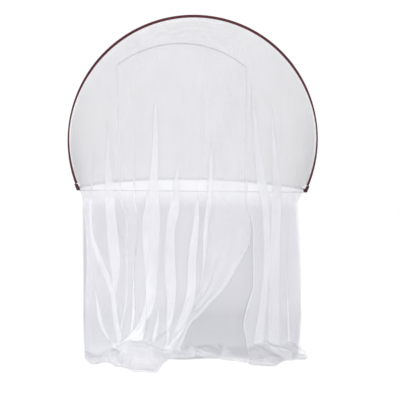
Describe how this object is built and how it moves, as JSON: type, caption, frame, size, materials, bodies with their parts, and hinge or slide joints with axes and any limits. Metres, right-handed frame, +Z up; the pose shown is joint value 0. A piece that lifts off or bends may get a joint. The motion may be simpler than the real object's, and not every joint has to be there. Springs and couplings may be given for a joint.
{
  "type": "mosquito net tent",
  "caption": "Desk-standing mosquito net tent: round-topped bow in bound tape, fold-down rear bow, sheer netting, arched door and a long gathered front skirt.",
  "frame": {"origin": "on the tabletop, midway between the two feet, at the underside of the strap that ties them", "axes": "+Z up, -Y the front with the door and skirt, +X to the right seen from the front; the skirt hangs below the tabletop to z = -0.73 m"},
  "size_m": [1.2098, 0.8818, 1.5719],
  "materials": {
    "spring_steel": "drawn spring wire",
    "maroon_tape": "matt woven binding tape, folded and stitched",
    "dark_moulding": "satin moulded",
    "zinc_plated_steel": "zinc plated",
    "white_webbing": "flat woven strap",
    "white_netting": "sheer polyester mesh",
    "grey_arch_tape": "narrow bias tape",
    "white_seam_tape": "narrow bias tape"
  },
  "bodies": {
    "front_frame": {"bow_rod": "spring_steel", "bow_tape": "maroon_tape", "foot_left": "dark_moulding", "foot_right": "dark_moulding", "hinge_rivet_left": "zinc_plated_steel", "hinge_rivet_right": "zinc_plated_steel", "tabletop_strap": "white_webbing", "gable_net": "white_netting", "left_curtain": "white_netting", "door_leaf_outer": "white_netting", "door_leaf_inner": "white_netting", "right_curtain": "white_netting", "back_net": "white_netting", "door_arch_tape": "grey_arch_tape", "left_seam_tape": "white_seam_tape", "right_seam_tape": "white_seam_tape"},
    "base_bow": {"base_rod": "spring_steel", "base_tape": "white_seam_tape", "hinge_eye_left": "zinc_plated_steel", "hinge_eye_right": "zinc_plated_steel"}
  },
  "joints": [
    {"name": "base_bow_fold", "type": "hinge", "parent": "front_frame", "child": "base_bow", "pos_m": [0, 0.0175, 0.0088], "axis": [1, 0, 0], "range_deg": [0, 85], "deforming": ["back_net"]}
  ]
}
